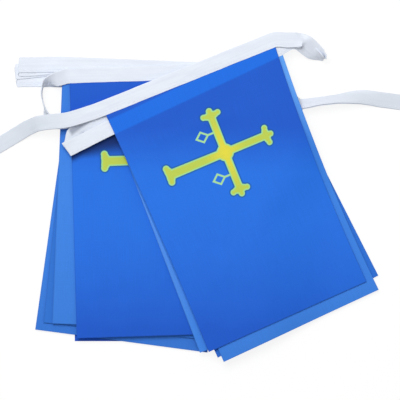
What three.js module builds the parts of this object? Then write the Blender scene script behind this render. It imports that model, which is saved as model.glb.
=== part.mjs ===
// A string of flag bunting, folded up and laid down. Nine oblong flags hang by
// their short side from one tape. The tape runs back and forth, so that the
// flags lie on each other in two fanned stacks: five in the rear stack, and
// four in the front one, which lies askew across it and slopes down to the
// surface past its right side. The tape's two ends lie loose.
//
// Millimetres, +Z up, +Y towards the sewn edges. The origin is on the surface,
// under the middle of the whole heap.

import * as THREE from "three";

const CLOTH = 1.1; // thickness of a flag, and of the doubled tape
const PITCH = 1.6; // from one layer of a stack up to the next
const TAPE_WIDTH = 13.0;
const SEAM_GAP = 0.3; // between a flag's sewn edge and the tape
const REAR_LAYERS = 5;

// How the front stack comes down to the surface: it is level as far as the
// rear stack and its tape reach, and then falls over this length.
const FALL = 60.0;
const REAR_SIDE = 49.0; // x where the fall starts beside the rear flags
const REAR_TAPE_SIDE = 89.0; // x where it starts beside the rear tape
const SIDE_CHANGE = { from: -20.0, to: 76.0 }; // y over which one goes to the other

const COLUMNS_ACROSS = 14; // cells of a front flag's grid
const ROWS_DOWN = 20;
const FLAT_CELLS = 4; // cells each way of a level flag
const LANE_STEP = 6.0; // longest facet along the tape
const FOLD_STEPS = 6; // facets round a fold

const radians = THREE.MathUtils.degToRad;
const { lerp, smoothstep } = THREE.MathUtils;
const vector = (x, y, z = 0) => new THREE.Vector3(x, y, z);
const UP = vector(0, 0, 1);

const table = (columns, rows) =>
  rows.map((row) => Object.fromEntries(columns.map((name, i) => [name, row[i]])));

// The flags in their order along the tape, which is also from the top layer
// of the front stack to the bottom layer of the rear one. x and y are the
// middle of the sewn edge. axis is how far the flag's own length is turned
// from straight down the page, head and foot how far its two short edges are
// turned, in degrees. leftDip and rightDip are how far its side edges are drawn
// in at mid-length.
const FLAGS = table(
  [
    ...["stack", "layer", "x", "y", "axis", "head", "foot"],
    ...["length", "headWidth", "footWidth", "leftDip", "rightDip"],
  ],
  [
    ["front", 3, -7.6, 97.3, 22.4, 21.9, 24.0, 214.5, 154.0, 146.0, 1.4, 3.4],
    ["front", 2, 2.2, 87.8, 23.0, 25.2, 24.9, 213.5, 150.0, 144.5, 0.0, 3.4],
    ["front", 1, -8.0, 87.2, 25.8, 25.0, 27.0, 209.0, 145.0, 152.5, 0.0, 0.0],
    ["front", 0, -6.7, 95.6, 20.9, 20.9, 20.9, 214.5, 149.5, 149.5, 0.0, 1.5],
    ["rear", 4, -35.5, 98.0, 1.6, 1.8, 1.8, 215.0, 149.5, 149.5, 0.0, 0.0],
    ["rear", 3, -41.6, 102.5, -2.3, -2.3, -2.3, 212.5, 149.5, 149.5, 0.0, 0.0],
    ["rear", 2, -35.9, 98.0, -6.0, -4.6, -6.0, 213.0, 149.5, 149.5, 0.0, 0.0],
    ["rear", 1, -36.6, 91.6, -8.0, -8.0, -7.6, 215.5, 147.0, 147.0, 0.0, 0.0],
    ["rear", 0, -31.3, 92.6, 0.0, 0.0, 0.0, 214.5, 149.5, 149.5, 0.0, 0.0],
  ],
);

// The free tape, from its left end to its right one. A row is one section:
// its middle, the way the tape runs there, and its bank, which is how far the
// tape has rolled about its own run since it last lay with its face up (0) or
// down (180). Angles are in degrees, anticlockwise from +X.
const SECTION = ["x", "y", "z", "heading", "bank"];

const LEFT_END = table(SECTION, [
  [-180.1, 38.6, 0.55, 29, 0],
  [-169.0, 44.7, 0.55, 30, 0],
  [-155.5, 52.7, 1.4, 29, 0],
  [-143.7, 59.3, 6.5, 24, 0],
  [-136.9, 62.0, 11.5, 13, 0],
  [-126.8, 63.5, 14.4, 5, 0],
  [-113.2, 65.0, 14.2, 10, 0],
  [-95.5, 69.9, 13.6, 18, 0],
]);

// The slack loop past the right end of the two top flags: it rolls up on edge,
// turns back at its tip and rolls down again under itself.
const LOOP = table(SECTION, [
  [76.0, 132.3, 13.4, 4, -2],
  [81.6, 132.5, 13.0, -4, -8],
  [86.6, 132.4, 12.3, -16, -30],
  [89.8, 130.9, 11.2, -32, 24],
  [96.3, 125.4, 9.3, -41, 28],
  [101.4, 121.1, 8.0, -40, 44],
  [105.9, 117.4, 7.2, -100, 84],
  [101.4, 118.7, 6.6, -204, 114],
  [95.0, 121.8, 6.9, -210, 146],
  [89.6, 126.0, 8.2, -215, 168],
  [84.2, 129.8, 9.6, -207, 190],
  [78.2, 131.0, 11.2, -180, 183],
]);

// From the lowest front flag the tape rolls on edge, crosses from one stack to
// the other and rolls down on the highest rear flag's line.
const LINK = table(SECTION, [
  [-94.6, 69.0, 8.55, 197, 0],
  [-114.9, 64.0, 8.55, 186, 4],
  [-123.8, 63.9, 7.9, 158, 32],
  [-128.6, 67.3, 7.4, 126, 58],
  [-131.3, 75.8, 7.3, 106, 87],
  [-133.8, 85.9, 7.3, 95, 90],
  [-133.3, 92.5, 7.9, 74, 92],
  [-130.3, 96.9, 8.2, 38, 114],
  [-121.5, 99.6, 9.4, 8, 162],
]);

const RIGHT_END = table(SECTION, [
  [63.4, 90.6, 0.7, -26, 0],
  [76.9, 81.4, 2.4, -20, -10],
  [82.8, 77.9, 4.3, -6, -33],
  [87.5, 78.9, 5.4, 4, -50],
  [101.2, 81.1, 5.8, 8, -57],
  [115.8, 82.9, 5.7, 7, -54],
  [126.8, 84.2, 4.7, 4, -38],
  [138.6, 84.5, 2.65, -4, -16],
  [152.9, 82.5, 1.15, -8, 0],
  [161.3, 81.4, 0.77, -7, 0],
  [165.6, 80.8, 0.55, -7, 0],
  [182.5, 78.7, 0.55, -7, 0],
]);

// The flat folds. x and y are where the upper layer meets the fold, heading is
// the way it runs there, skew is how far the fold's line is off square to it,
// in degrees, and shift is how far the lower layer leaves it towards +Y. rows
// are the sections between the fold and the next flag.
const fold = (x, y, heading, skew = 0, shift = 0, rows = []) => ({
  fold: { x, y, heading, skew, shift },
  rows,
});

const AFTER_OPEN_FOLD = table(SECTION, [
  [-106.5, 53.4, 10.15, 66, 14],
  [-97.5, 60.8, 9.9, 4, 12],
]);

const TURNS = [
  { rows: LOOP },
  fold(-111.9, 40.7, 206, 10, 0, AFTER_OPEN_FOLD),
  fold(74.8, 132.4, 8),
  { rows: LINK },
  fold(69.3, 108.3, 1),
  fold(-152.6, 112.0, 177, 0, -3.4),
  fold(72.7, 93.1, -5),
  fold(-155.3, 106.4, 183, 4, -7.0),
];

// Height of the underside of one layer. The rear stack is level. The front
// stack lies on it and falls away past its right side.
function underside({ stack, layer }, x, y) {
  if (stack === "rear") return layer * PITCH;
  const side = lerp(REAR_SIDE, REAR_TAPE_SIDE, smoothstep(y, SIDE_CHANGE.from, SIDE_CHANGE.to));
  const carried = 1 - smoothstep(x, side, side + FALL);
  return (REAR_LAYERS * carried + layer) * PITCH;
}

// A point of a flag's underside: across goes from -0.5 at its left edge to
// 0.5 at its right one, down from 0 at its sewn edge to 1 at its foot.
function flagPoint(flag, across, down) {
  const axis = radians(flag.axis);
  const row = radians(lerp(flag.head, flag.foot, down));
  const along = down * flag.length;
  const dip = 4 * down * (1 - down);
  const half = lerp(flag.headWidth, flag.footWidth, down) / 2;
  const aside = lerp(dip * flag.leftDip - half, half - dip * flag.rightDip, across + 0.5);
  const x = flag.x + along * Math.sin(axis) + aside * Math.cos(row);
  const y = flag.y - along * Math.cos(axis) + aside * Math.sin(row);
  return vector(x, y, underside(flag, x, y));
}

// A closed solid from rings of points: the sides join each ring to the next,
// and a fan closes each end.
function loft(rings) {
  const size = rings[0].length;
  const points = rings.flat();
  const faces = [];
  for (let r = 0; r + 1 < rings.length; r++) {
    for (let i = 0; i < size; i++) {
      const a = r * size + i;
      const b = r * size + ((i + 1) % size);
      faces.push(a, b, b + size, a, b + size, a + size);
    }
  }
  const last = points.length - size;
  for (let i = 1; i + 1 < size; i++) {
    faces.push(0, i + 1, i, last, last + i, last + i + 1);
  }
  const geometry = new THREE.BufferGeometry().setFromPoints(points);
  geometry.setIndex(faces);
  geometry.computeVertexNormals();
  return geometry;
}

// A flag is a sheet: a grid of points below, the same grid CLOTH higher, and a
// wall round the edge.
function flagGeometry(flag) {
  const level = flag.stack === "rear";
  const columns = level ? FLAT_CELLS : COLUMNS_ACROSS;
  const rows = level ? FLAT_CELLS : ROWS_DOWN;
  const points = [];
  for (const height of [0, CLOTH]) {
    for (let r = 0; r <= rows; r++) {
      for (let c = 0; c <= columns; c++) {
        const point = flagPoint(flag, c / columns - 0.5, r / rows);
        points.push(point.addScaledVector(UP, height));
      }
    }
  }
  const half = points.length / 2;
  const at = (c, r) => r * (columns + 1) + c;
  const faces = [];
  for (let r = 0; r < rows; r++) {
    for (let c = 0; c < columns; c++) {
      const [a, b, d, e] = [at(c, r), at(c + 1, r), at(c, r + 1), at(c + 1, r + 1)];
      faces.push(a, b, d, b, e, d);
      faces.push(half + a, half + d, half + b, half + b, half + d, half + e);
    }
  }
  const wall = (a, b) => faces.push(a, b + half, b, a, a + half, b + half);
  for (let c = 0; c < columns; c++) {
    wall(at(c, 0), at(c + 1, 0));
    wall(at(c + 1, rows), at(c, rows));
  }
  for (let r = 0; r < rows; r++) {
    wall(at(0, r + 1), at(0, r));
    wall(at(columns, r), at(columns, r + 1));
  }
  const geometry = new THREE.BufferGeometry().setFromPoints(points);
  geometry.setIndex(faces);
  geometry.computeVertexNormals();
  return geometry;
}

// A station is one cross-section of the tape: its centre, the way the tape
// runs, and across, which points to the tape's upper edge on the page. The
// tape runs to the right past even flags and to the left past odd ones, so
// sense keeps across on the same side.
function station({ x, y, z, heading, bank }, sense) {
  const turn = radians(heading);
  const roll = radians(bank);
  const along = vector(Math.cos(turn), Math.sin(turn));
  const across = vector(-along.y, along.x)
    .multiplyScalar(sense * Math.cos(roll))
    .addScaledVector(UP, Math.sin(roll));
  return { centre: vector(x, y, z), along, across };
}

// The two ends of the tape along one flag's sewn edge, in running order.
function run(flag, sense) {
  const edge = radians(flag.head);
  const across = vector(-Math.sin(edge), Math.cos(edge));
  const along = vector(Math.cos(edge), Math.sin(edge)).multiplyScalar(sense);
  return [-0.5, 0.5].map((end) => {
    const centre = flagPoint(flag, end * sense, 0);
    centre.addScaledVector(across, SEAM_GAP + TAPE_WIDTH / 2);
    centre.setZ(underside(flag, centre.x, centre.y) + CLOTH / 2);
    return { centre, along, across };
  });
}

// A fold turns the tape back on itself one layer lower.
function foldStations({ x, y, heading, skew, shift }, upper, sense) {
  const turn = radians(heading);
  const line = radians(heading + skew);
  const out = vector(Math.cos(turn), Math.sin(turn));
  const across = vector(-Math.sin(line), Math.cos(line));
  across.multiplyScalar(sense / Math.cos(radians(skew)));
  const top = underside(upper, x, y) + CLOTH / 2;
  const stations = [];
  for (let i = 0; i <= FOLD_STEPS; i++) {
    const angle = (Math.PI * i) / FOLD_STEPS;
    const centre = vector(x, y + (shift * i) / FOLD_STEPS, top);
    centre.addScaledVector(out, (PITCH / 2) * Math.sin(angle));
    centre.addScaledVector(UP, (PITCH / 2) * (Math.cos(angle) - 1));
    const along = out.clone().multiplyScalar(Math.cos(angle));
    along.addScaledVector(UP, -Math.sin(angle));
    stations.push({ centre, along, across, bent: i > 0 });
  }
  return stations;
}

// Stations between two others, along a curve that leaves and arrives the way
// the tape runs there.
function lane(from, to) {
  const length = from.centre.distanceTo(to.centre);
  const curve = new THREE.CubicBezierCurve3(
    from.centre,
    from.centre.clone().addScaledVector(from.along, length / 3),
    to.centre.clone().addScaledVector(to.along, -length / 3),
    to.centre,
  );
  const steps = Math.ceil(length / LANE_STEP);
  const stations = [];
  for (let i = 1; i < steps; i++) {
    const along = curve.getTangent(i / steps);
    const across = from.across.clone().lerp(to.across, i / steps);
    across.addScaledVector(along, -across.dot(along)).normalize();
    stations.push({ centre: curve.getPoint(i / steps), along, across });
  }
  return stations;
}

function tapeGeometry() {
  const main = LEFT_END.map((row) => station(row, 1));
  FLAGS.forEach((flag, i) => {
    const sense = i % 2 ? -1 : 1;
    main.push(...run(flag, sense));
    if (i + 1 < FLAGS.length) {
      const turn = TURNS[i];
      if (turn.fold) main.push(...foldStations(turn.fold, flag, sense));
      const after = turn.fold ? -sense : sense;
      main.push(...turn.rows.map((row) => station(row, after)));
    }
  });
  main.push(...RIGHT_END.map((row) => station(row, 1)));

  const stations = main.flatMap((next, i) =>
    i === 0 || next.bent ? [next] : [...lane(main[i - 1], next), next],
  );
  const rings = stations.map(({ centre, along, across }) => {
    const face = along.clone().cross(across).normalize();
    return [[-1, -1], [1, -1], [1, 1], [-1, 1]].map(([side, layer]) =>
      centre
        .clone()
        .addScaledVector(across, (side * TAPE_WIDTH) / 2)
        .addScaledVector(face, (layer * CLOTH) / 2),
    );
  });
  return loft(rings);
}

const printed = new THREE.MeshStandardMaterial({ color: 0x2f74e8, roughness: 0.85, metalness: 0 });
const white = new THREE.MeshStandardMaterial({ color: 0xeef2fa, roughness: 0.9, metalness: 0 });

const bunting = new THREE.Group();
bunting.name = "flag_bunting";

for (const flag of FLAGS) {
  const mesh = new THREE.Mesh(flagGeometry(flag), printed.clone());
  mesh.name = `${flag.stack}_flag_${flag.layer + 1}`;
  bunting.add(mesh);
}

const tape = new THREE.Mesh(tapeGeometry(), white);
tape.name = "tape";
bunting.add(tape);

export default bunting;
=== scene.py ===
"""A string of flag bunting, folded up and laid down: nine printed flags sewn into one
white tape, which runs back and forth so that they lie in two fanned stacks.
Metres, +Z up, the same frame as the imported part."""

import bpy
import numpy as np
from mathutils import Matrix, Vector


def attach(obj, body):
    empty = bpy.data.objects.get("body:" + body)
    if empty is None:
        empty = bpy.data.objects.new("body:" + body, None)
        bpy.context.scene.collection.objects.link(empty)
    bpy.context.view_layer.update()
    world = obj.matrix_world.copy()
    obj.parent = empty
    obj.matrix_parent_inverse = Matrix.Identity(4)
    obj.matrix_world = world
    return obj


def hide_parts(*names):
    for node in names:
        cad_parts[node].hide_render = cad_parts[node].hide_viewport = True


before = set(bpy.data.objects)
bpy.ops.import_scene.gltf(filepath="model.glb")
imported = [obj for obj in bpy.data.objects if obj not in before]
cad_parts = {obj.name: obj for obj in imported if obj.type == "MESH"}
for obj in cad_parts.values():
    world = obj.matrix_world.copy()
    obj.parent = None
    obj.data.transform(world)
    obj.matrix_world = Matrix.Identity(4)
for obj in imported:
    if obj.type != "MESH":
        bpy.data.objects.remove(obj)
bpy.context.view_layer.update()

# --------------------------------------------------------------------------- the flags
# Nine oblong flags of thin woven polyester, printed on one face and heat-cut all round.
# Their short upper edge is caught in the tape. They lie by turns face up and face down:
# four in the front stack, which lies askew on the five of the rear one.

MM = 0.001
CLOTH = 0.25 * MM  # thickness of the polyester
BEAD = 0.12 * MM  # how much thicker it is where the hot knife fused its edge
BEAD_IN, BEAD_WIDTH = 0.3 * MM, 0.35 * MM  # how far in the bead lies, and its half width
LAYER = 1.1 * MM  # room that one layer takes
PITCH = 1.6 * MM  # from one layer up to the next
REAR_LAYERS = 5
FALL = 60.0 * MM  # the front stack comes down to the surface over this length
REAR_SIDE, REAR_TAPE_SIDE = 49.0 * MM, 89.0 * MM  # where that starts, low and high
SIDE_CHANGE = (-20.0 * MM, 76.0 * MM)  # y over which one goes to the other
CUT = (0.150, 0.2145)  # a flag's width and its length below the tape
TUCK = 4.0 * MM  # length of it inside the tape
SEWN_STIFF = (2.0 * MM, 26.0 * MM)  # below the tape, over which its stiffness dies out
WAVES = (0.150, 0.083, 0.046)  # lengths of a flag's own soft waves
WAVE_RISE = 0.9 * MM  # their height for each metre of length
SAG, SAG_REACH = 0.30 * MM, 5.0 * MM  # how far a free edge sinks, and how far in it is felt
CELL = 2.0 * MM  # of the grid that a flag is worked out on
EDGE_CELLS = np.array([0.0, 0.35, 0.8, 1.4]) * MM  # where its lines lie along an edge
SHARP = np.radians(50)  # an edge that turns more than this is shaded as sharp

# x and y are the middle of the sewn edge. axis is how far the flag's own length is turned
# from straight down the page, head and foot how far its short edges are turned, in
# degrees. left_dip and right_dip are how far its side edges are drawn in at mid-length.
# lit is how much painted light the border of it that shows gets, as light coming up through
# it.
FLAG = ("stack", "layer", "x", "y", "axis", "head", "foot", "length", "head_width",
        "foot_width", "left_dip", "right_dip", "lit")
FLAGS = [dict(zip(FLAG, row)) for row in (
    ("front", 3, -7.6, 97.3, 22.4, 21.9, 24.0, 214.5, 154.0, 146.0, 1.4, 3.4, 0.0),
    ("front", 2, 2.2, 87.8, 23.0, 25.2, 24.9, 213.5, 150.0, 144.5, 0.0, 3.4, 0.55),
    ("front", 1, -8.0, 87.2, 25.8, 25.0, 27.0, 209.0, 145.0, 152.5, 0.0, 0.0, 0.6),
    ("front", 0, -6.7, 95.6, 20.9, 20.9, 20.9, 214.5, 149.5, 149.5, 0.0, 1.5, 1.0),
    ("rear", 4, -35.5, 98.0, 1.6, 1.8, 1.8, 215.0, 149.5, 149.5, 0.0, 0.0, 0.0),
    ("rear", 3, -41.6, 102.5, -2.3, -2.3, -2.3, 212.5, 149.5, 149.5, 0.0, 0.0, 0.45),
    ("rear", 2, -35.9, 98.0, -6.0, -4.6, -6.0, 213.0, 149.5, 149.5, 0.0, 0.0, 0.9),
    ("rear", 1, -36.6, 91.6, -8.0, -8.0, -7.6, 215.5, 147.0, 147.0, 0.0, 0.0, 0.2),
    ("rear", 0, -31.3, 92.6, 0.0, 0.0, 0.0, 214.5, 149.5, 149.5, 0.0, 0.0, 0.0),
)]
for place, flag in enumerate(FLAGS):
    flag["name"] = f"{flag['stack']}_flag_{flag['layer'] + 1}"
    flag["face_up"] = place % 2 == 0
    flag["place"] = place

# Soft creases from packing and handling. across and down are the middle of the crease as
# shares of the flag, turn is its direction from across the flag in degrees, and height is
# below zero for a trough. Lengths and heights are millimetres.
CREASE = ("flag", "across", "down", "turn", "length", "width", "height")
CREASES = [dict(zip(CREASE, row)) for row in (
    ("front_flag_4", -0.12, 0.17, 4, 130, 9, 0.30),
    ("front_flag_4", 0.30, 0.30, 62, 90, 14, -0.35),
    ("front_flag_4", 0.05, 0.62, -28, 150, 16, 0.35),
    ("front_flag_4", -0.30, 0.80, 18, 90, 12, -0.30),
    ("front_flag_3", 0.45, 0.35, 84, 120, 7, 0.25),
    ("front_flag_3", 0.0, 0.965, 0, 150, 12, 0.45),
    ("rear_flag_5", -0.30, 0.55, 80, 120, 11, 0.30),
    ("rear_flag_5", -0.05, 0.80, -12, 120, 14, -0.30),
    ("rear_flag_4", -0.40, 0.60, 85, 140, 10, 0.25),
)]


def ease(value, start, end):
    """0 before start, 1 after end, and a smooth S between them."""
    share = np.clip((value - start) / (end - start), 0.0, 1.0)
    return share * share * (3.0 - 2.0 * share)


def underside(flag, x, y):
    """Height of a layer's underside: its place in the stack times PITCH, where the front
    stack has the rear one below it up to its side, and loses that height over FALL."""
    if flag["stack"] == "rear":
        return np.full(np.shape(x), flag["layer"] * PITCH)
    side = REAR_SIDE + (REAR_TAPE_SIDE - REAR_SIDE) * ease(y, *SIDE_CHANGE)
    carried = 1.0 - ease(x, side, side + FALL)
    return (REAR_LAYERS * carried + flag["layer"]) * PITCH


def flag_point(flag, across, down):
    """x and y of a point of a flag. It lies down times the length along the axis from the
    middle of the sewn edge, and aside along a row whose turn and width go from the head's
    to the foot's; the side edges are drawn in by a parabola that is highest half way."""
    axis = np.radians(flag["axis"])
    row = np.radians(flag["head"] + (flag["foot"] - flag["head"]) * down)
    along = down * flag["length"] * MM
    dip = 4.0 * np.clip(down, 0.0, 1.0) * (1.0 - down) * MM
    half = (flag["head_width"] + (flag["foot_width"] - flag["head_width"]) * down) / 2 * MM
    left, right = dip * flag["left_dip"] - half, half - dip * flag["right_dip"]
    aside = left + (right - left) * (across + 0.5)
    x = flag["x"] * MM + along * np.sin(axis) + aside * np.cos(row)
    y = flag["y"] * MM - along * np.cos(axis) + aside * np.sin(row)
    return x, y


def spread(length):
    """Places from 0 to length: even cells, and three narrow ones along each end for the
    fused edge."""
    inset = EDGE_CELLS[-1]
    middle = np.linspace(inset, length - inset, int(round((length - 2 * inset) / CELL)) + 1)
    return np.concatenate([EDGE_CELLS[:-1], middle, length - EDGE_CELLS[-2::-1]])


def relief(flag, across, down):
    """Height of a flag above the middle of its layer. Three long waves of its own, its
    creases as bell-shaped ridges, and a sag to the layer below along the free edges; all
    of it dies out towards the tape, and is kept inside the layer."""
    chance = np.random.default_rng(40 + flag["place"])
    x, y = across * CUT[0], down * CUT[1]
    height = np.zeros(np.shape(across))
    for wave in WAVES:
        turn, phase = chance.uniform(0, np.pi), chance.uniform(0, 2 * np.pi)
        run = (x * np.cos(turn) + y * np.sin(turn)) / wave
        height += WAVE_RISE * wave * np.sin(2 * np.pi * run + phase)
    for crease in CREASES:
        if crease["flag"] != flag["name"]:
            continue
        turn = np.radians(crease["turn"])
        dx, dy = x - crease["across"] * CUT[0], y - crease["down"] * CUT[1]
        on = (dx * np.cos(turn) + dy * np.sin(turn)) / (crease["length"] * MM / 2)
        off = (dy * np.cos(turn) - dx * np.sin(turn)) / (crease["width"] * MM / 2)
        height += crease["height"] * MM * np.exp(-off * off) * np.exp(-on ** 4)
    free = np.minimum((0.5 - np.abs(across)) * CUT[0], (1.0 - down) * CUT[1])
    height -= SAG * np.exp(-free / SAG_REACH)
    room = (LAYER - CLOTH - BEAD) / 2
    height = room * np.tanh(height / room)
    return height * ease(down * CUT[1], *SEWN_STIFF)


def sheet_mesh(name, middle, thickness, cut):
    """A closed sheet from a grid of middle points (rows, columns, 3): the grid raised and
    lowered by half its thickness along its own normals, with a wall round the edge. cut
    holds each point's place on the flat cloth, kept as the attribute "cut"."""
    rows, columns = middle.shape[:2]
    down, across = np.gradient(middle, axis=0), np.gradient(middle, axis=1)
    normal = np.cross(down, across)
    normal /= np.linalg.norm(normal, axis=2, keepdims=True)
    points = np.concatenate([
        (middle + normal * thickness[..., None] / 2).reshape(-1, 3),
        (middle - normal * thickness[..., None] / 2).reshape(-1, 3),
    ])
    at = np.arange(rows * columns).reshape(rows, columns)
    cells = np.stack([at[:-1, :-1], at[1:, :-1], at[1:, 1:], at[:-1, 1:]], -1).reshape(-1, 4)
    below = at.size
    rim = np.concatenate([at[0, :-1], at[:-1, -1], at[-1, :0:-1], at[:0:-1, 0]])
    after = np.roll(rim, -1)
    wall = np.stack([rim, after, after + below, rim + below], -1)
    mesh = bpy.data.meshes.new(name)
    faces = np.concatenate([cells, cells[:, ::-1] + below, wall])
    mesh.from_pydata(points.tolist(), [], faces.tolist())
    mesh.polygons.foreach_set("use_smooth", np.ones(len(faces), bool))
    sides = np.concatenate([np.zeros(len(cells), int), np.ones(len(cells), int),
                            np.zeros(len(wall), int)])
    mesh.polygons.foreach_set("material_index", sides)
    place = np.concatenate([cut.reshape(-1, 3), cut.reshape(-1, 3)]).astype(np.float32)
    mesh.attributes.new("cut", "FLOAT_VECTOR", "POINT").data.foreach_set(
        "vector", place.ravel())
    mesh.set_sharp_from_angle(angle=SHARP)
    mesh.update()
    return mesh


def place_on_frame(name, mesh):
    """The finished mesh as an object of the scene, riding on the part's one body."""
    piece = bpy.data.objects.new(name, mesh)
    bpy.context.scene.collection.objects.link(piece)
    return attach(piece, "root")


class Link:
    """One output of a node. Operators on it, and the methods here, add the nodes that work
    the expression out; the others are made with node()."""

    def __init__(self, tree, socket):
        self.tree, self.socket = tree, socket

    def node(self, kind, settings=None, inputs=None, output=0):
        """A new node of this kind, as a Link to one of its outputs. Settings come first;
        inputs go by name or by number."""
        made = self.tree.nodes.new(kind)
        for key, value in (settings or {}).items():
            setattr(made, key, value)
        for key, value in (inputs or {}).items():
            if isinstance(value, Link):
                self.tree.links.new(value.socket, made.inputs[key])
            else:
                made.inputs[key].default_value = value
        return Link(self.tree, made.outputs[output])

    def math(self, operation, *others, clamp=False):
        return self.node("ShaderNodeMath", {"operation": operation, "use_clamp": clamp},
                         dict(enumerate((self, *others))))

    def __add__(self, other):
        return self.math("ADD", other)

    def __sub__(self, other):
        return self.math("SUBTRACT", other)

    def __rsub__(self, other):
        return self.math("MULTIPLY_ADD", -1.0, other)

    def __mul__(self, other):
        return self.math("MULTIPLY", other)

    def __truediv__(self, other):
        return self.math("DIVIDE", other)

    __radd__, __rmul__ = __add__, __mul__

    def within(self, start, end):
        """0 where the value is start, 1 where it is end, and straight between them."""
        scale = 1.0 / (end - start)
        return self.math("MULTIPLY_ADD", scale, -start * scale, clamp=True)

    def least(self, *others):
        found = self
        for other in others:
            found = found.math("MINIMUM", other)
        return found

    def most(self, *others):
        found = self
        for other in others:
            found = found.math("MAXIMUM", other)
        return found

    def size(self):
        return self.math("ABSOLUTE")

    def wave(self, length):
        """A sine of that wavelength."""
        return (self * (2 * np.pi / length)).math("SINE")

    def part(self, axis):
        """One coordinate of a vector."""
        return self.node("ShaderNodeSeparateXYZ", {}, {0: self}, "XYZ".index(axis))

    def dot(self, x, y):
        """How far the point lies along a direction on the page."""
        return self.node("ShaderNodeVectorMath", {"operation": "DOT_PRODUCT"},
                         {0: self, 1: (x, y, 0.0)}, "Value")

    def from_point(self, x, y):
        """Distance from a point on the page."""
        return self.node("ShaderNodeVectorMath", {"operation": "DISTANCE"},
                         {0: self, 1: (x, y, 0.0)}, "Value")

    def stretched(self, x, y):
        """The point with its first two coordinates stretched, and its third dropped."""
        return self.node("ShaderNodeVectorMath", {"operation": "MULTIPLY"},
                         {0: self, 1: (x, y, 0.0)})

    def noise(self):
        """Even noise from 0 to 1 at this point."""
        return self.node("ShaderNodeTexNoise", {}, {
            "Vector": self, "Scale": 1.0, "Detail": 2.0, "Roughness": 0.55})

    def mix(self, first, second):
        """The second colour where this mask is 1, the first where it is 0."""
        return self.node("ShaderNodeMix", {"data_type": "RGBA"},
                         {"Factor": self, 6: first, 7: second}, 2)


def shade(red, green, blue):
    """A colour from its eight-bit screen values, as the linear one that shaders take."""
    share = np.array([red, green, blue]) / 255.0
    linear = np.where(share <= 0.04045, share / 12.92, ((share + 0.055) / 1.055) ** 2.4)
    return (*linear.tolist(), 1.0)


def new_finish(name, **constants):
    """A material with one Principled shader. constants are the inputs that are the same
    all over; returns the material, its shader and a Link to start from."""
    material = bpy.data.materials.new(name)
    material.use_nodes = True
    shader = material.node_tree.nodes["Principled BSDF"]
    for key, value in constants.items():
        shader.inputs[key.replace("_", " ")].default_value = value
    return material, shader, Link(material.node_tree, None)


def inside(position, corners, soft):
    """A mask of a straight-sided area on the page, corners anticlockwise: the least of the
    distances inward from its sides, from 0 to 1 over a soft width."""
    sides = []
    for (ax, ay), (bx, by) in zip(corners, corners[1:] + corners[:1]):
        length = np.hypot(bx - ax, by - ay)
        nx, ny = (ay - by) / length, (bx - ax) / length
        sides.append(position.dot(nx, ny) - (ax * nx + ay * ny))
    return sides[0].least(*sides[1:]).within(-soft / 2, soft / 2)


def flag_corners(flag):
    """The corners of a flag below the tape, anticlockwise from the lower left one."""
    return [tuple(float(v) for v in flag_point(flag, across, down))
            for across, down in ((-0.5, 1.0), (0.5, 1.0), (0.5, 0.0), (-0.5, 0.0))]


TAPE_WIDTH = 13.0 * MM
SEAM_GAP = 0.3 * MM  # from the tape's open edge to the flag's sewn edge line
TAPE_REACH = 0.25  # how far the tape is followed past the flag, as a share of its width


def tape_corners(flag):
    """The corners of the tape along a flag's sewn edge and past its left end,
    anticlockwise."""
    turn = np.radians(flag["head"])
    up = np.array([-np.sin(turn), np.cos(turn)]) * (TAPE_WIDTH + SEAM_GAP)
    lower = [np.array(flag_point(flag, across, 0.0)) for across in (-0.5, 0.5)]
    reach = (lower[1] - lower[0]) * TAPE_REACH
    ring = (lower[0] - reach, lower[1], lower[1] + up, lower[0] - reach + up)
    return [tuple(p.tolist()) for p in ring]


# The printed cross, in millimetres from its middle: x towards the head of the cross, y to
# either side of it. An arm is a bar with a bud at its end, and a bud is a few round lobes.
CROSS_AT = (80.0, 66.0)  # its middle, from the edge that is sewn in first, and down
ARM_HALF, FOOT_HALF, FOOT_FLARE = 3.4, 3.7, 0.010  # half widths; the foot's gain outwards
HEAD_BUD, FOOT_LENGTH, SIDE_BUD = 38.4, 54.8, 33.6  # how far out a bud or the foot is
BOSS = 7.4  # radius of the round middle
BAR_BLEND, LOBE_BLEND = 1.2, 0.9  # how softly bars and lobes run into each other
BUD = [  # along the arm from the bud's middle, aside, radius
    (-0.6, 0.0, 4.4), (3.6, 0.0, 2.6), (-0.3, 3.6, 2.9), (0.3, 6.4, 2.6),
]
FOOT_LOBES = [(-52.2, 5.9, 3.0), (-51.4, 3.0, 3.6)]  # x, y, radius
LOBES = (
    [(HEAD_BUD + out, aside, radius) for out, aside, radius in BUD]
    + [(side * aside, SIDE_BUD + out, radius)
       for out, aside, radius in BUD for side in (1, -1)]
    + FOOT_LOBES
)
PENDANT = (-13.5, 19.0, 5.2, 4.4)  # x, y, half length, half width
STROKE = 1.5  # width of the line that draws it


def cross_distance(cut):
    """Distance outward from the edge of the printed cross, in millimetres: the smooth
    least of its bars', its lobes' and its boss's own distances. Also returns the point's x
    and y from the middle of the cross, y without its sign."""
    x = cut.part("X") / MM - CROSS_AT[0]
    y = (cut.part("Y") / MM - CROSS_AT[1]).size()
    point = x.node("ShaderNodeCombineXYZ", {}, {0: x, 1: y})
    foot_half = x * -FOOT_FLARE + FOOT_HALF
    bars = [
        (y - ARM_HALF).most(x - HEAD_BUD, x * -1.0),
        (y - foot_half).most(x * -1.0 - FOOT_LENGTH, x),
        (x.size() - ARM_HALF).most(y - SIDE_BUD),
    ]
    found = point.from_point(0.0, 0.0) - BOSS
    for bar in bars:
        found = found.math("SMOOTH_MIN", bar, BAR_BLEND)
    for lobe_x, lobe_y, radius in LOBES:
        lobe = point.from_point(lobe_x, lobe_y) - radius
        found = found.math("SMOOTH_MIN", lobe, LOBE_BLEND)
    return found, x, y


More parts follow.
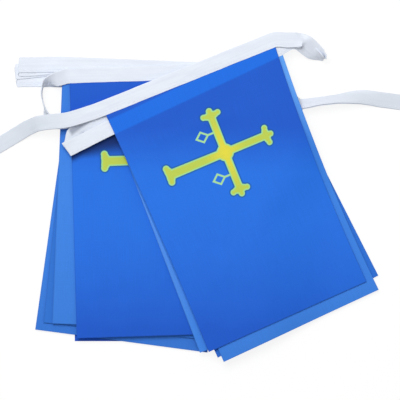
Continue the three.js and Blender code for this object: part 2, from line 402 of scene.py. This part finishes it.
def pendant_distance(x, y):
    """Distance from the two small lozenges that hang from the side arms, drawn as a line
    of STROKE, with a short link to the arm."""
    px, py, half_length, half_width = PENDANT
    lozenge = (x - px).size() / half_length + (y - py).size() / half_width - 1.0
    outline = (lozenge * (half_width * 0.8)).size() - STROKE / 2
    top = px + half_length
    link = ((y - py).size() - STROKE / 2).most(
        (x - (top - ARM_HALF) / 2).size() - (-ARM_HALF - top) / 2)
    return outline.least(link)


# The blue of each face where more cloth lies under it (light, deep), and the painted light
# where only white does (lit). Light and shade are painted into the tone: lighter in the
# middle of the heap and deeper towards its ends.
FACE = {"light": (40, 119, 236), "deep": (31, 94, 210), "lit": (52, 122, 218)}
BACK = {"light": (62, 134, 234), "deep": (54, 120, 217), "lit": (68, 141, 240)}
LOW_TONE, LOW_LENGTH = 5.0 * MM, 118.0 * MM  # below this y it deepens, over this length
HIGH_TONE = (20.0 * MM, 60.0 * MM)  # y over which it deepens towards the tape
CLOUD = 0.35  # how much the tone wanders
# Painted light: the colours over white, where tape or the open table lies under a single
# flag and shows through it, and where light gets in along its edge, each with the width over
# which it sets in.
OVER_TAPE, TAPE_SOFT = (28, 119, 241), 1.6 * MM
OVER_TABLE, TABLE_SOFT = (100, 168, 252), 1.0 * MM
EDGE_LIGHT, STRIP_SOFT = (98, 164, 255), 0.5 * MM
OPEN_RISE = (40.0 * MM, 102.0 * MM)  # y over which the table starts to show through
STRIP_FADE = (-120.0 * MM, 20.0 * MM)  # y over which a narrow strip gets its full painted light
# Painted shade: the shadow under the edge of the tape that hangs over a flag, put into the
# flag's colour. It reaches further and is deeper away from the tape's left corner.
GLOOM = (10, 36, 92)
GLOOM_CORNER = (-76.0 * MM, -45.0 * MM)  # along the tape, over which it grows
GLOOM_REACH, GLOOM_GAIN = 8.0 * MM, 13.0 * MM
GLOOM_DEPTH, GLOOM_DEEPER = 0.80, 0.12
GLOOM_START = (-14.0 * MM, -12.0 * MM)  # under the tape, where it sets in
GOLD, LIME, RIM, DROP = (236, 224, 70), (194, 212, 86), (170, 228, 150), (176, 230, 158)
HALO = (24, 88, 140)  # the darker blue that the print's outline soaked into
BACK_INK = 0.22  # how much of the cross shows through on the back
THREAD = 0.36 * MM  # from one thread of the polyester to the next


def flag_finish(name, face, lit=0.0, over_tape=None, over_flag=None, under_flag=None,
                shading_flag=None):
    """Printed polyester. Light and shade are painted into its tone: deep at both ends of the
    heap and lighter between.
    Thin as it is, white tape under it shows through, and that light is painted in as a
    bright band; so is the light of the table where the next flag doesn't reach and of a
    narrow strip of one past the flag over it. The shade of the tape over it is painted in.
    It has faint slubs along its threads, and a darker fused edge."""
    material, shader, start = new_finish(
        name, Roughness=0.62, Sheen_Weight=0.03, Sheen_Roughness=0.45,
        Specular_IOR_Level=0.14)
    place = start.node("ShaderNodeTexCoord", output="Object")
    cut = start.node("ShaderNodeAttribute", {"attribute_name": "cut"}, output="Vector")
    u, v = cut.part("X"), cut.part("Y")
    tones = FACE if face else BACK

    # Painted light and shade: deeper towards both ends of the heap, lighter in its middle.
    height = place.part("Y")
    low = ((height * -1.0 + LOW_TONE) / LOW_LENGTH).most(0.0)
    far = (low * low).most(height.within(*HIGH_TONE))
    cloud = place.stretched(26.0, 17.0).noise()
    tone = (far + (cloud - 0.5) * CLOUD).math("MULTIPLY", 1.0, clamp=True)
    blue = tone.mix(shade(*tones["light"]), shade(*tones["deep"]))
    # Painted light coming up through the border that shows, as much as lit says.
    blue = blue.node("ShaderNodeMix", {"data_type": "RGBA"}, {
        "Factor": lit, 6: blue, 7: shade(*tones["lit"])}, 2)
    # Painted light: bright where white tape, the open table or the edge of a strip shows
    # through.
    if over_tape:
        mask = inside(place, over_tape, TAPE_SOFT) * (1.0 - tone * 0.25)
        blue = mask.mix(blue, shade(*OVER_TAPE))
    if over_flag:
        bare = (1.0 - inside(place, over_flag, TABLE_SOFT)) * height.within(*OPEN_RISE)
        blue = bare.mix(blue, shade(*OVER_TABLE))
    if under_flag:
        strip = 1.0 - inside(place, under_flag, STRIP_SOFT)
        blue = (strip * height.within(*STRIP_FADE)).mix(blue, shade(*EDGE_LIGHT))

    # Painted shade under the edge of the tape of the flag given here.
    if shading_flag:
        turn = np.radians(shading_flag["head"])
        away = (np.sin(turn), -np.cos(turn))
        reach = place.dot(*away) - (shading_flag["x"] * away[0] + shading_flag["y"] * away[1]) * MM
        corner = place.dot(np.cos(turn), np.sin(turn)).within(*GLOOM_CORNER)
        share = reach / (corner * GLOOM_GAIN + GLOOM_REACH)
        gloom = share.within(1.0, 0.2)
        gloom = gloom * gloom * (3.0 - gloom * 2.0) * reach.within(*GLOOM_START)
        blue = (gloom * (corner * GLOOM_DEEPER + GLOOM_DEPTH)).mix(blue, shade(*GLOOM))

    slub = cut.stretched(2400.0, 45.0).noise() * 0.6
    slub = slub + cut.stretched(60.0, 2400.0).noise() * 0.4
    dark = blue.node("ShaderNodeHueSaturation", {}, {"Value": 0.93, "Color": blue})
    blue = slub.within(0.62, 0.38).mix(blue, dark)

    distance, x, y = cross_distance(cut)
    weight = 1.0 if face else BACK_INK
    outer = (x.size() * 0.022 + y * 0.012).within(0.0, 0.42)
    fill = outer.mix(shade(*GOLD), shade(*LIME))
    halo = distance.within(1.7, 0.3) * (0.8 * weight)
    blue = halo.mix(blue, shade(*HALO))
    blue = (distance.within(0.25, -0.25) * weight).mix(blue, shade(*RIM))
    blue = (distance.within(-0.8, -1.4) * weight).mix(blue, fill)
    drops = pendant_distance(x, y)
    blue = (drops.within(0.35, -0.25) * weight).mix(blue, shade(*DROP))

    edge = u.least(CUT[0] - u, CUT[1] - v)
    fused = edge.within(0.9 * MM, 0.2 * MM)
    dim = blue.node("ShaderNodeHueSaturation", {}, {"Value": 0.86, "Color": blue})
    blue = fused.mix(blue, dim)
    start.tree.links.new(blue.socket, shader.inputs["Base Color"])
    rough = 0.62 - fused * 0.18 + (slub - 0.5) * 0.12
    start.tree.links.new(rough.socket, shader.inputs["Roughness"])

    weave = u.wave(THREAD * 2) * v.wave(THREAD * 2) * 0.5 + slub * 0.8
    bump = start.node("ShaderNodeBump", {}, {
        "Strength": 0.35, "Distance": 0.06 * MM, "Height": weave})
    start.tree.links.new(bump.socket, shader.inputs["Normal"])
    return material


print_below = flag_finish("flag_print_underside", True)
back_below = flag_finish("flag_reverse_underside", False)
for flag in FLAGS:
    across = spread(CUT[0]) / CUT[0] - 0.5
    length = flag["length"] * MM
    down = (spread(length + TUCK) - TUCK) / length
    down, across = np.meshgrid(down, across, indexing="ij")
    x, y = flag_point(flag, across, down)
    height, rest = relief(flag, across, down), LAYER / 2
    if flag["name"] == "rear_flag_1":  # the lowest one lies on the surface
        height = np.maximum(height, 0.0)
        rest = rest - ease(down * CUT[1], *SEWN_STIFF) * (LAYER - CLOTH - BEAD) / 2
    z = underside(flag, x, y) + rest + height
    edge = np.minimum((0.5 - np.abs(across)) * CUT[0],
                      np.minimum(1.0 - down, down + TUCK / length) * length)
    thickness = CLOTH + BEAD * np.exp(-((edge - BEAD_IN) / BEAD_WIDTH) ** 2)
    width = (across + 0.5) if flag["face_up"] else (0.5 - across)
    cut = np.stack([width * CUT[0], down * CUT[1], np.zeros_like(x)], -1)
    mesh = sheet_mesh(flag["name"] + "_cloth", np.stack([x, y, z], -1), thickness, cut)
    # Where painted light and painted shade go on each flag.
    over_tape = tape_corners(FLAGS[1]) if flag["place"] == 0 else None
    over_flag = flag_corners(FLAGS[2]) if flag["place"] == 1 else None
    under_flag = flag_corners(FLAGS[0]) if flag["place"] == 3 else None
    # Which flag's tape leaves its painted shade on this one.
    shading_flag = FLAGS[1] if flag["place"] == 4 else None
    mesh.materials.append(flag_finish(
        flag["name"] + "_upper", flag["face_up"], flag["lit"], over_tape, over_flag,
        under_flag, shading_flag))
    mesh.materials.append(back_below if flag["face_up"] else print_below)
    piece = place_on_frame(flag["name"] + "_cloth", mesh)
    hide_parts(flag["name"])

# ---------------------------------------------------------------------------- the tape
# One white woven tape, folded lengthwise over the flags' upper edges and sewn shut. It
# runs right past the first flag, left past the second and so on; between two flags it
# is folded flat, or rolls over in a slack loop. Its two ends are loose.

FOLD_STEPS = 12

# The middle of a section of the tape, the way it runs there, and its bank, which is how
# far it has rolled about its own run since it last lay with its face up (0) or down (180).
SECTION = ("x", "y", "z", "heading", "bank")


def rows(*values):
    """Sections of free tape. Each of them between the first and the last climbs as the
    line from the one before it to the one after it does."""
    found = [dict(zip(SECTION, row)) for row in values]
    for before, row, after in zip(found, found[1:], found[2:]):
        reach = [np.hypot(a["x"] - b["x"], a["y"] - b["y"])
                 for a, b in ((row, before), (after, row))]
        row["slope"] = (after["z"] - before["z"]) / sum(reach)
    return found


LEFT_END = rows(
    (-180.1, 38.6, 0.55, 29, 0),
    (-169.0, 44.7, 0.55, 30, 0),
    (-155.5, 52.7, 1.4, 29, 0),
    (-143.7, 59.3, 6.5, 24, 0),
    (-136.9, 62.0, 11.5, 13, 0),
    (-126.8, 63.5, 14.4, 5, 0),
    (-113.2, 65.0, 14.2, 10, 0),
    (-95.5, 69.9, 13.6, 18, 0),
)
LOOP = rows(
    (76.0, 132.3, 13.4, 4, -2),
    (81.6, 132.5, 13.0, -4, -8),
    (86.6, 132.4, 12.3, -16, -30),
    (89.8, 130.9, 11.2, -32, 24),
    (96.3, 125.4, 9.3, -41, 28),
    (101.4, 121.1, 8.0, -40, 44),
    (105.9, 117.4, 7.2, -100, 84),
    (101.4, 118.7, 6.6, -204, 114),
    (95.0, 121.8, 6.9, -210, 146),
    (89.6, 126.0, 8.2, -215, 168),
    (84.2, 129.8, 9.6, -207, 190),
    (78.2, 131.0, 11.2, -180, 183),
)
LINK = rows(
    (-94.6, 69.0, 8.55, 197, 0),
    (-114.9, 64.0, 8.55, 186, 4),
    (-123.8, 63.9, 7.9, 158, 32),
    (-128.6, 67.3, 7.4, 126, 58),
    (-131.3, 75.8, 7.3, 106, 87),
    (-133.8, 85.9, 7.3, 95, 90),
    (-133.3, 92.5, 7.9, 74, 92),
    (-130.3, 96.9, 8.2, 38, 114),
    (-121.5, 99.6, 9.4, 8, 162),
)
RIGHT_END = rows(
    (63.4, 90.6, 0.7, -26, 0),
    (76.9, 81.4, 2.4, -20, -10),
    (82.8, 77.9, 4.3, -6, -33),
    (87.5, 78.9, 5.4, 4, -50),
    (101.2, 81.1, 5.8, 8, -57),
    (115.8, 82.9, 5.7, 7, -54),
    (126.8, 84.2, 4.7, 4, -38),
    (138.6, 84.5, 2.65, -4, -16),
    (152.9, 82.5, 1.15, -8, 0),
    (161.3, 81.4, 0.77, -7, 0),
    (165.6, 80.8, 0.55, -7, 0),
    (182.5, 78.7, 0.55, -7, 0),
)
AFTER_OPEN_FOLD = rows((-106.5, 53.4, 10.15, 66, 14), (-97.5, 60.8, 9.9, 4, 12))

# The flat folds: where the upper layer meets the fold, the way it runs there, how far the
# fold's line is off square to it, and how far the lower layer leaves it towards +Y.
FOLD = ("x", "y", "heading", "skew", "shift", "rows")
TURNS = [{"rows": LOOP}] + [dict(zip(FOLD, row)) for row in (
    (-111.9, 40.7, 206, 10, 0, AFTER_OPEN_FOLD),
    (74.8, 132.4, 8, 0, 0, []),
)] + [{"rows": LINK}] + [dict(zip(FOLD, row)) for row in (
    (69.3, 108.3, 1, 0, 0, []),
    (-152.6, 112.0, 177, 0, -3.4, []),
    (72.7, 93.1, -5, 0, 0, []),
    (-155.3, 106.4, 183, 4, -7.0, []),
)]
UP = np.array([0.0, 0.0, 1.0])
STEP = 2.5 * MM  # from one section of the finished tape to the next

# A station of the tape is its middle, the way it runs, the direction across it towards its
# folded edge, and whether it was reached round a fold.


def page(turn):
    """The direction on the page that is turned so far from +X."""
    return np.array([np.cos(turn), np.sin(turn), 0.0])


def station(row, sense):
    """The station of one row: the direction across is level and square to the heading, and
    its bank tips it up out of the page."""
    along, bank = page(np.radians(row["heading"])), np.radians(row["bank"])
    level = np.array([-along[1], along[0], 0.0]) * sense
    across = level * np.cos(bank) + UP * np.sin(bank)
    along = along + UP * row.get("slope", 0.0)
    along /= np.linalg.norm(along)
    return np.array([row["x"] * MM, row["y"] * MM, row["z"] * MM]), along, across, False


def sewn_run(flag, sense):
    """The stations at both ends of the tape along one flag's sewn edge, as it runs."""
    edge = np.radians(flag["head"])
    across = np.array([-np.sin(edge), np.cos(edge), 0.0])
    for end in (-0.5, 0.5):
        x, y = flag_point(flag, end * sense, 0.0)
        middle = np.array([x, y, 0.0]) + across * (SEAM_GAP + TAPE_WIDTH / 2)
        middle[2] = underside(flag, middle[0], middle[1]) + LAYER / 2
        yield middle, page(edge) * sense, across, False


def fold_stations(fold, upper, sense):
    """A half circle down to the next layer, in the upright plane that the tape runs in."""
    turn = np.radians(fold["heading"])
    out, line = page(turn), np.radians(fold["heading"] + fold["skew"])
    across = np.array([-np.sin(line), np.cos(line), 0.0])
    across *= sense / np.cos(np.radians(fold["skew"]))
    x, y = fold["x"] * MM, fold["y"] * MM
    top = underside(upper, x, y) + LAYER / 2
    for step in range(FOLD_STEPS + 1):
        share = step / FOLD_STEPS
        angle = np.pi * share
        middle = np.array([x, y + fold["shift"] * MM * share, top])
        middle += out * (PITCH / 2 * np.sin(angle)) + UP * (PITCH / 2 * (np.cos(angle) - 1))
        yield middle, out * np.cos(angle) - UP * np.sin(angle), across, step > 0


def lane(before, after):
    """Points from one station to the next: a cubic whose handles are a third of the
    distance, with the directions across blended between the two and squared to it."""
    (a, out, wide_a, _), (b, arrive, wide_b, bent) = before, after
    length = np.linalg.norm(b - a)
    count = 1 if bent else max(1, int(np.ceil(length / STEP)))
    t = (np.arange(count) + 1.0)[:, None] / count
    c, d = a + out * length / 3, b - arrive * length / 3
    middle = (a * (1 - t) ** 3 + c * 3 * t * (1 - t) ** 2
              + d * 3 * t ** 2 * (1 - t) + b * t ** 3)
    along = ((c - a) * (1 - t) ** 2 + (d - c) * 2 * t * (1 - t) + (b - d) * t ** 2)
    along /= np.linalg.norm(along, axis=1, keepdims=True)
    across = wide_a * (1 - t) + wide_b * t
    size = np.linalg.norm(across, axis=1, keepdims=True)
    if not bent:
        across -= along * np.sum(across * along, axis=1, keepdims=True)
        across *= size / np.linalg.norm(across, axis=1, keepdims=True)
    return middle, along, across


stations = [station(row, 1) for row in LEFT_END]
for place, flag in enumerate(FLAGS):
    sense = -1 if place % 2 else 1
    stations += sewn_run(flag, sense)
    if place < len(TURNS):
        turn, after = TURNS[place], sense
        if "skew" in turn:
            stations += fold_stations(turn, flag, sense)
            after = -sense
        stations += [station(row, after) for row in turn["rows"]]
stations += [station(row, 1) for row in RIGHT_END]

parts = [lane(a, b) for a, b in zip(stations, stations[1:])]
start = stations[0]
middle, along, across = (
    np.concatenate([[start[k]]] + [part[k] for part in parts]) for k in range(3))

# Past the flags, the rear layers settle closer to each other and are pressed thinner.
SETTLE_PAST = (114.0 * MM, 128.0 * MM)  # to the left, over which they do
SETTLE_ABOVE, SETTLE_TOP = 90.0 * MM, 6.0 * MM  # only at a greater y, and a lesser z
SETTLE, PRESS = 0.5, 0.45  # how far down towards the surface, and how much thinner

settled = (ease(-middle[:, 0], *SETTLE_PAST)
           * (middle[:, 1] > SETTLE_ABOVE) * (middle[:, 2] < SETTLE_TOP))
middle[:, 2] -= SETTLE * settled * (middle[:, 2] - LAYER / 2)
pressed = 1.0 - PRESS * settled
run = np.concatenate([[0.0], np.cumsum(np.linalg.norm(np.diff(middle, axis=0), axis=1))])
face = np.cross(along, across)
face /= np.linalg.norm(face, axis=1, keepdims=True)

# The tape's section, in millimetres: across it towards its folded edge, and up through
# it. It runs along the under leaf, round the fold, back along the upper leaf, and then
# inside. The upper leaf is a little narrower.
LEAF, HALF_SPACE = 0.22, 0.24  # thickness of a leaf, and half the space between them
OUTER = LEAF + HALF_SPACE
UPPER_SHORT = 0.35  # how much narrower the upper leaf is

# The web isn't quite straight: it sways aside in slow waves, whose size is in millimetres
# and length in metres, and has a low flutter through it.
SWAYS = ((0.10, 0.061), (0.07, 0.027), (0.05, 0.0113))
SWAY_ASIDE = 0.6
FLUTTER, FLUTTER_LENGTH = 0.05 * MM, 0.019


def tape_section():
    """Points of the section, and how far each is along the flat woven width."""
    low, high = -TAPE_WIDTH / MM / 2, TAPE_WIDTH / MM / 2
    bend = high - OUTER
    short = low + UPPER_SHORT
    turn = np.linspace(-np.pi / 2, np.pi / 2, 7)[1:-1]
    under = np.linspace(low, bend, 9)
    over = np.linspace(bend, short, 9)
    points = [(p, -OUTER) for p in under]
    points += [(bend + OUTER * np.cos(a), OUTER * np.sin(a)) for a in turn]
    points += [(p, OUTER) for p in over]
    points += [(p, HALF_SPACE) for p in over[::-2][:-1]] + [(bend, HALF_SPACE)]
    points += [(bend + HALF_SPACE * np.cos(a), HALF_SPACE * np.sin(a)) for a in -turn[::2]]
    points += [(bend, -HALF_SPACE)] + [(p, -HALF_SPACE) for p in under[::-2][1:]]
    return np.array(points)


profile = tape_section()
ripple = np.random.default_rng(7)
sway = sum(
    size * np.sin(2 * np.pi * run / length + ripple.uniform(0, 6.28))
    for size, length in SWAYS)
aside = profile[None, :, 0] * MM + sway[:, None] * SWAY_ASIDE * MM
above = profile[None, :, 1] * MM + FLUTTER * np.sin(
    2 * np.pi * run[:, None] / FLUTTER_LENGTH + profile[None, :, 0] * 0.5)
above *= pressed[:, None]
ring = (middle[:, None, :] + across[:, None, :] * aside[..., None]
        + face[:, None, :] * above[..., None])
ring[..., 2] = np.maximum(ring[..., 2], 0.0)


def tube_mesh(name, rings, cut):
    """A closed skin over rings of points (rings, points, 3), each ring joined to the next
    and both ends capped."""
    count, size = rings.shape[:2]
    at = np.arange(count * size).reshape(count, size)
    after = np.roll(at, -1, axis=1)
    quads = np.stack([at[:-1], after[:-1], after[1:], at[1:]], -1).reshape(-1, 4).tolist()
    quads += [at[0, ::-1].tolist(), at[-1].tolist()]
    mesh = bpy.data.meshes.new(name)
    mesh.from_pydata(rings.reshape(-1, 3).tolist(), [], quads)
    mesh.polygons.foreach_set("use_smooth", np.ones(len(quads), bool))
    mesh.attributes.new("cut", "FLOAT_VECTOR", "POINT").data.foreach_set(
        "vector", cut.reshape(-1, 3).astype(np.float32).ravel())
    mesh.set_sharp_from_angle(angle=SHARP)
    mesh.update()
    return mesh


cut = np.stack(np.broadcast_arrays(
    run[:, None], profile[None, :, 0] * MM, profile[None, :, 1] * MM), -1)
tape_mesh = tube_mesh("tape_web", ring, np.ascontiguousarray(cut))

# TAPE_SHADE is the painted shade along the tape's creases; TAPE_EDGE is the selvage's own
# grey.
TAPE_WHITE, TAPE_SHADE, TAPE_EDGE = (236, 242, 252), (224, 231, 244), (214, 221, 234)
# Painted shade: the first colour on the tape's two ends, the second in the hollow beside the
# open fold.
TAPE_TAIL_SHADE, TAPE_HOLLOW_SHADE = (212, 220, 230), (168, 175, 190)
TAIL_SHADE_PAST = (96.0 * MM, 130.0 * MM)  # to either side, over which painted shade sets in on the tape's two ends
TAIL_SHADE_BELOW = (91.0 * MM, 87.0 * MM)  # the same in y
# The small opening that the top layer leaves beside the open fold, with its shade painted
# into the tape's colour.
HOLLOW = [(-112.2 * MM, 57.9 * MM), (-108.1 * MM, 52.6 * MM), (-93.5 * MM, 63.4 * MM)]
HOLLOW_SOFT, HOLLOW_TOP = 2.4 * MM, (12.4 * MM, 11.6 * MM)  # z below which it is dark
SELVAGE = (0.9, 0.3)  # from the open edge, over which the denser weave sets in
RIB = 0.42 * MM  # from one weft thread of the tape to the next


def tape_finish(name):
    """White woven tape: fine ribs across it, a few long soft crease lines whose shade is
    painted grey, and a slightly greyer, denser selvage along its open edge. Shade is painted
    on its two ends, which lie on their own, and in the hollow beside the open fold."""
    material, shader, start = new_finish(
        name, Roughness=0.7, Sheen_Weight=0.12, Sheen_Roughness=0.5, Specular_IOR_Level=0.25)
    cut = start.node("ShaderNodeAttribute", {"attribute_name": "cut"}, output="Vector")
    run, wide = cut.part("X"), cut.part("Y")
    # Painted shade along a few long soft creases; greyer in soft patches too.
    lines = cut.stretched(14.0, 520.0).noise()
    patch = cut.stretched(30.0, 160.0).noise()
    grey = lines.within(0.42, 0.70) * 0.4 + patch.within(0.40, 0.75) * 0.5
    white = grey.mix(shade(*TAPE_WHITE), shade(*TAPE_SHADE))
    place = start.node("ShaderNodeTexCoord", output="Object")
    # Painted shade on the tape's two ends.
    tail_shade = place.part("X").size().within(*TAIL_SHADE_PAST)
    tail_shade = tail_shade * place.part("Y").within(*TAIL_SHADE_BELOW)
    white = (tail_shade * 0.6).mix(white, shade(*TAPE_TAIL_SHADE))
    # Painted shade in the hollow, below the top layer.
    hollow = inside(place, HOLLOW, HOLLOW_SOFT) * place.part("Z").within(*HOLLOW_TOP)
    white = hollow.mix(white, shade(*TAPE_HOLLOW_SHADE))
    selvage = (wide / MM + TAPE_WIDTH / MM / 2).within(*SELVAGE)
    white = (selvage * 0.5).mix(white, shade(*TAPE_EDGE))
    start.tree.links.new(white.socket, shader.inputs["Base Color"])
    ribs = run.wave(RIB) * 0.5 + wide.wave(RIB * 1.2) * 0.3 + lines * 1.5
    bump = start.node("ShaderNodeBump", {}, {
        "Strength": 0.4, "Distance": 0.06 * MM, "Height": ribs})
    start.tree.links.new(bump.socket, shader.inputs["Normal"])
    rough = 0.66 + (patch - 0.5) * 0.15
    start.tree.links.new(rough.socket, shader.inputs["Roughness"])
    return material


white_tape = tape_finish("white_tape")
tape_mesh.materials.append(white_tape)
tape = place_on_frame("tape_web", tape_mesh)
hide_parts("tape")

# ------------------------------------------------------------------------- the stitching
# One line of white thread along the tape near its open edge, through both leaves and the
# flags between them. On each side it shows as short raised stitches, end to end.

STITCH, STITCH_GAP = 2.1 * MM, 0.5 * MM
STITCH_LINE = -TAPE_WIDTH / 2 + 2.3 * MM
STRAND = 0.17 * MM  # the thread's radius
STITCH_HUMP, STITCH_SUNK = 0.75, 0.35  # of that radius, up in the middle and down all along
THREAD_DARK, THREAD_WHITE = (226, 232, 243), (246, 248, 252)


def stitches(side):
    """A row of thread tubes on one side of the tape. Each follows the tape's run, and
    rises from the web at its ends to half its thickness over it in the middle."""
    pitch = STITCH + STITCH_GAP
    first = np.arange(pitch, run[-1] - pitch, pitch)
    share = np.linspace(0.0, 1.0, 5)
    at = first[:, None] + STITCH * share[None, :]

    def follow(values):
        return np.stack([np.interp(at, run, values[:, k]) for k in range(3)], -1)

    path, wide, up = follow(middle), follow(across), follow(face)
    hump = STITCH_HUMP * np.sin(np.pi * share) - STITCH_SUNK
    rise = (OUTER * MM + STRAND * hump) * side
    rise = rise[None, :] * np.interp(at, run, pressed)
    path = path + wide * STITCH_LINE + up * rise[..., None]
    turn = np.arange(6) * (2 * np.pi / 6) * side
    girth = STRAND * np.array([0.35, 0.95, 1.0, 0.95, 0.35])
    around = (wide[:, :, None, :] * np.cos(turn)[:, None]
              + up[:, :, None, :] * np.sin(turn)[:, None])
    return path[:, :, None, :] + around * girth[None, :, None, None]


def stitch_mesh(name):
    """All the stitches as one mesh: each is five rings of six points, with its ends
    capped."""
    rings = np.concatenate([stitches(1), stitches(-1)])
    count, sections, size = rings.shape[:3]
    at = np.arange(rings.size // 3).reshape(count, sections, size)
    after = np.roll(at, -1, axis=2)
    half = count // 2
    quads = np.stack([at[:, :-1], after[:, :-1], after[:, 1:], at[:, 1:]], -1)
    quads[half:] = quads[half:, ..., ::-1]
    caps = [at[:, 0, ::-1], at[:, -1]]
    ends = np.concatenate([np.where(np.arange(count)[:, None] < half, cap, cap[:, ::-1])
                           for cap in caps])
    mesh = bpy.data.meshes.new(name)
    mesh.from_pydata(rings.reshape(-1, 3).tolist(), [],
                     quads.reshape(-1, 4).tolist() + ends.tolist())
    mesh.polygons.foreach_set("use_smooth", np.ones(len(mesh.polygons), bool))
    mesh.update()
    return mesh


def thread_finish(name):
    """White polyester thread: two plies twisted together, as fine slanting lines."""
    material, shader, start = new_finish(name, Roughness=0.5, Specular_IOR_Level=0.35)
    place = start.node("ShaderNodeTexCoord", output="Object")
    ply = place.dot(0.8, 0.6).wave(0.5 * MM)
    colour = ply.within(-1.0, 1.0).mix(shade(*THREAD_DARK), shade(*THREAD_WHITE))
    start.tree.links.new(colour.socket, shader.inputs["Base Color"])
    bump = start.node("ShaderNodeBump", {}, {
        "Strength": 0.4, "Distance": 0.04 * MM, "Height": ply})
    start.tree.links.new(bump.socket, shader.inputs["Normal"])
    return material


sewing = stitch_mesh("tape_stitching")
sewing.materials.append(thread_finish("white_thread"))
stitching = place_on_frame("tape_stitching", sewing)

# ------------------------------------------------------------------ surface and backdrop
# A plain pale table top that runs out of sight. Seen straight on it is white, with the
# heap's soft shadow left on it.

TABLE_HALF, TABLE_DROP = 2.5, 0.02 * MM  # half its side, and how far it is below the heap
TABLE_DARK, TABLE_PALE = (246, 247, 249), (250, 250, 251)
SHADING, GLOW = 0.16, 0.86  # of what the camera sees


def table_finish():
    """Matt near-white. What the camera, a gloss or a glass sees is lifted to white by an
    even glow, and the shading over it keeps the shadow."""
    material = bpy.data.materials.new("pale_table")
    material.use_nodes = True
    tree = material.node_tree
    tree.nodes.remove(tree.nodes["Principled BSDF"])
    start = Link(tree, None)
    grain = start.node("ShaderNodeTexCoord", output="Object").stretched(900.0, 900.0)
    pale = grain.noise().mix(shade(*TABLE_DARK), shade(*TABLE_PALE))
    plain = start.node("ShaderNodeBsdfDiffuse", {}, {"Color": pale})
    seen = start.node("ShaderNodeBsdfDiffuse", {}, {"Color": (*[SHADING] * 3, 1.0)})
    glow = start.node("ShaderNodeEmission", {}, {"Strength": GLOW})
    lifted = start.node("ShaderNodeAddShader", {}, {0: seen, 1: glow})
    ray = start.node("ShaderNodeLightPath", output="Is Camera Ray").most(
        start.node("ShaderNodeLightPath", output="Is Glossy Ray"),
        start.node("ShaderNodeLightPath", output="Is Transmission Ray"))
    shown = start.node("ShaderNodeMixShader", {}, {0: ray, 1: plain, 2: lifted})
    tree.links.new(shown.socket, tree.nodes["Material Output"].inputs["Surface"])
    return material


top = bpy.data.meshes.new("table_top")
top.from_pydata([(x * TABLE_HALF, y * TABLE_HALF, -TABLE_DROP)
                 for x, y in ((-1, -1), (1, -1), (1, 1), (-1, 1))], [], [(0, 1, 2, 3)])
top.materials.append(table_finish())
table_top = bpy.data.objects.new("table_top", top)
bpy.context.scene.collection.objects.link(table_top)

# ----------------------------------------------------------------------- light and camera
# One broad soft lamp high over the tape side, even light all round, and a long lens
# straight above the heap.

world = bpy.data.worlds.new("even_light")
world.use_nodes = True
bpy.context.scene.world = world
sky = Link(world.node_tree, None)
background = world.node_tree.nodes["Background"]
AMBIENT = 0.42  # the world's strength on the heap; 1 where it is seen
seen = sky.node("ShaderNodeLightPath", output="Is Camera Ray").most(
    sky.node("ShaderNodeLightPath", output="Is Glossy Ray"),
    sky.node("ShaderNodeLightPath", output="Is Transmission Ray"))
world.node_tree.links.new((seen * (1.0 - AMBIENT) + AMBIENT).socket,
                          background.inputs["Strength"])
background.inputs["Color"].default_value = (1.0, 1.0, 1.0, 1.0)


def soft_lamp(name, place, aim, size, power):
    """A square panel lamp at a place, facing the point that it is aimed at."""
    data = bpy.data.lights.new(name, "AREA")
    data.shape, data.size, data.energy = "SQUARE", size, power
    lamp = bpy.data.objects.new(name, data)
    bpy.context.scene.collection.objects.link(lamp)
    lamp.location = place
    lamp.rotation_mode = "QUATERNION"
    lamp.rotation_quaternion = (Vector(aim) - Vector(place)).to_track_quat("-Z", "Y")


soft_lamp("key_panel", place=(-0.30, 0.72, 1.52), aim=(0.0, 0.0, 0.0), size=0.9, power=18.5)

LENS, SENSOR = 400.0, 36.0
VIEW_WIDTH, VIEW_MIDDLE, VIEW_LEVEL = 0.338, (0.0, -2.4 * MM), 8.0 * MM
camera_data = bpy.data.cameras.new("camera")
camera_data.lens, camera_data.sensor_width = LENS, SENSOR
camera_data.clip_start, camera_data.clip_end = 0.1, 20.0
camera = bpy.data.objects.new("camera", camera_data)
bpy.context.scene.collection.objects.link(camera)
camera.location = (*VIEW_MIDDLE, VIEW_LEVEL + VIEW_WIDTH * LENS / SENSOR)
bpy.context.scene.camera = camera

bpy.context.scene.view_settings.view_transform = "Standard"
